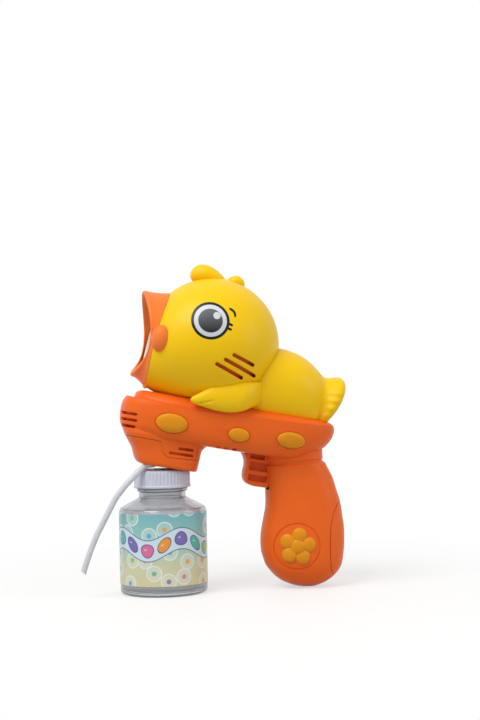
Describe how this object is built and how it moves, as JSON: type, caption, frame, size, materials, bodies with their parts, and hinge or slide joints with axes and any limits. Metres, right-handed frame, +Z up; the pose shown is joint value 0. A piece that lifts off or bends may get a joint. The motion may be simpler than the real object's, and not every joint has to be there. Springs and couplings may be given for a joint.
{
  "type": "bubble blower",
  "caption": "Battery bubble gun with a hollow duckling on an orange hull, open beak outlet, trigger grip and hanging suction tube, leaning on a capped clear bottle of bubble solution.",
  "frame": {"origin": "centre of the bottle's flat base, on the surface that the toy stands on", "axes": "+Z up along the bottle's axis, -X towards the beak, +Y across the toy to its right side"},
  "size_m": [0.1545, 0.0764, 0.1863],
  "materials": {
    "orange_shell": "satin moulded ABS",
    "socket_plastic": "moulded ABS",
    "yellow_shell": "satin moulded ABS",
    "amber_trim": "satin moulded ABS",
    "clear_bottle": "clear blown PET",
    "solution": "clear liquid",
    "label_film": "printed film",
    "white_cap": "moulded polypropylene",
    "soft_seal": "soft foam and silicone",
    "tube_silicone": "translucent soft tube",
    "inner_plastic": "natural moulded plastic",
    "steel": "plated steel",
    "black_plastic": "moulded plastic",
    "cell_sleeve": "printed sleeve",
    "red_plunger": "moulded plastic"
  },
  "bodies": {
    "bottle": {"bottle": "clear_bottle", "bubble_solution": "solution", "bottle_label": "label_film"},
    "cap": {"bottle_cap": "white_cap", "cap_liner": "soft_seal"},
    "trigger": {"trigger": "orange_shell"},
    "plunger": {"switch_plunger": "red_plunger"},
    "fan": {"fan_wheel": "inner_plastic"},
    "rotor": {"pump_rotor": "inner_plastic"},
    "pinion": {"pump_pinion": "inner_plastic"},
    "door": {"battery_door": "orange_shell"},
    "gun": {"hull_left": "orange_shell", "hull_right": "orange_shell", "tank_socket": "orange_shell", "top_deck": "orange_shell", "beak": "orange_shell", "grip_left": "orange_shell", "grip_right": "orange_shell", "socket_cup": "socket_plastic", "bubble_nozzle": "socket_plastic", "head_left": "yellow_shell", "head_right": "yellow_shell", "duck_back": "yellow_shell", "crest": "yellow_shell", "wing_left": "yellow_shell", "wing_right": "yellow_shell", "studs_left": "amber_trim", "studs_right": "amber_trim", "emblem_left": "amber_trim", "emblem_right": "amber_trim", "socket_seal": "soft_seal", "suction_tube": "tube_silicone", "pump_hose": "tube_silicone", "feed_hose": "tube_silicone", "air_duct": "inner_plastic", "motor_mount": "inner_plastic", "motor_cradle": "inner_plastic", "pump_housing": "inner_plastic", "blower_motor": "steel", "pump_motor": "steel", "trigger_pin": "steel", "trigger_spring": "steel", "battery_contacts": "steel", "battery_tray": "black_plastic", "trigger_switch": "black_plastic", "battery_cells": "cell_sleeve"}
  },
  "joints": [
    {"name": "gun_lift", "type": "slide", "parent": "bottle", "child": "gun", "axis": [0, 0, 1], "range_m": [0, 0.09]},
    {"name": "cap_turn", "type": "hinge", "parent": "bottle", "child": "cap", "pos_m": [0, 0, 0.065], "axis": [0, 0, 1], "range_deg": [0, 540]},
    {"name": "trigger_pull", "type": "hinge", "parent": "gun", "child": "trigger", "pos_m": [0.05545, 0, 0.08111], "axis": [0, -1, 0], "range_deg": [0, 8], "stiffness_Nm_per_rad": 0.6, "deforming": ["trigger_spring"]},
    {"name": "plunger_press", "type": "slide", "parent": "gun", "child": "plunger", "axis": [0.9833, 0, -0.1822], "range_m": [0, 0.0017]},
    {"name": "fan_spin", "type": "hinge", "parent": "gun", "child": "fan", "pos_m": [0.01941, 0, 0.1376], "axis": [-0.9588, 0, 0.284], "continuous": true},
    {"name": "pump_turn", "type": "hinge", "parent": "gun", "child": "rotor", "pos_m": [0, -0.001, 0.09749], "axis": [0.9833, 0, -0.1822], "continuous": true},
    {"name": "pinion_turn", "type": "hinge", "parent": "gun", "child": "pinion", "pos_m": [0, 0.00812, 0.09749], "axis": [0.9833, 0, -0.1822], "continuous": true},
    {"name": "door_pull", "type": "slide", "parent": "gun", "child": "door", "axis": [1, 0, 0], "range_m": [0, 0.03]}
  ],
  "couplings": [
    {"joint": "plunger_press", "follows": "trigger_pull", "m_per_rad": 0.011459},
    {"joint": "pinion_turn", "follows": "pump_turn", "ratio": -3}
  ]
}
